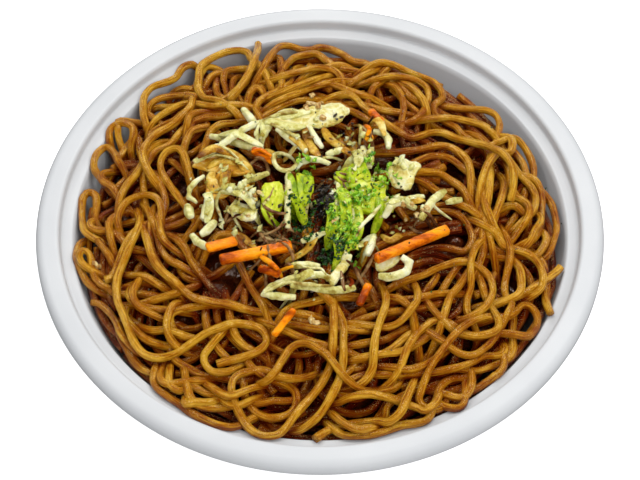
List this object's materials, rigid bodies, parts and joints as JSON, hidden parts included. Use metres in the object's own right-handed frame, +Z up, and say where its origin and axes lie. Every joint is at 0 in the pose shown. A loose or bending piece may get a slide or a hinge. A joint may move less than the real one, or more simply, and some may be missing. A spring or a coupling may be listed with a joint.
{
  "type": "yakisoba in a takeaway bowl",
  "caption": "Round white takeaway bowl heaped with brown fried noodles, topped with cut cabbage, bean sprouts and carrot sticks.",
  "frame": {"origin": "centre of the bowl's foot, on the surface it stands on", "axes": "+Z up out of the bowl, +Y away from the eater, as the picture shows it"},
  "size_m": [0.19, 0.19, 0.0537],
  "materials": {
    "bowl_plastic": "smooth white food-tray plastic, satin",
    "noodle": "wet wheat noodle glazed with brown sauce",
    "cabbage_green": "cooked yellow-green cabbage leaf, wet",
    "cabbage_pale": "cooked pale cabbage leaf and rib, wet",
    "cabbage_browned": "cabbage soaked with brown sauce, wet",
    "sprout": "cooked bean sprout, wet",
    "carrot": "cooked carrot stick, wet"
  },
  "bodies": {
    "root": {"bowl": "bowl_plastic", "noodles": "noodle", "cabbage_back": "cabbage_pale", "cabbage_fan": "cabbage_browned", "cabbage_browned": "cabbage_browned", "cabbage_pale_left": "cabbage_pale", "cabbage_left": "cabbage_green", "cabbage_middle": "cabbage_green", "cabbage_block": "cabbage_green", "cabbage_long": "cabbage_green", "cabbage_tip": "cabbage_pale", "cabbage_ragged": "cabbage_pale", "cabbage_pale_right": "cabbage_pale", "cabbage_centre": "cabbage_green", "cabbage_slip": "cabbage_pale", "sprout_back_left": "sprout", "sprout_cross": "sprout", "sprout_long_left": "sprout", "sprout_short_left": "sprout", "sprout_back_slant": "sprout", "sprout_back_hang": "sprout", "sprout_left_curl": "sprout", "sprout_left_upper": "sprout", "sprout_left_middle": "sprout", "sprout_left_outer": "sprout", "sprout_left_lower": "sprout", "sprout_slant_left": "sprout", "sprout_by_cabbage": "sprout", "sprout_upright": "sprout", "sprout_arch": "sprout", "sprout_back_right": "sprout", "sprout_hook_back": "sprout", "sprout_clear_right": "sprout", "sprout_arm_right": "sprout", "sprout_far_right": "sprout", "sprout_end_right": "sprout", "sprout_stub_right": "sprout", "sprout_hook_right": "sprout", "sprout_browned": "sprout", "sprout_front_flat": "sprout", "sprout_front_loop": "sprout", "sprout_front_long": "sprout", "carrot_left": "carrot", "carrot_right": "carrot", "carrot_small_left": "carrot", "carrot_front": "carrot", "carrot_back": "carrot", "carrot_wedge": "carrot", "carrot_back_left": "carrot", "carrot_strip": "carrot", "carrot_front_right": "carrot"}
  },
  "joints": []
}
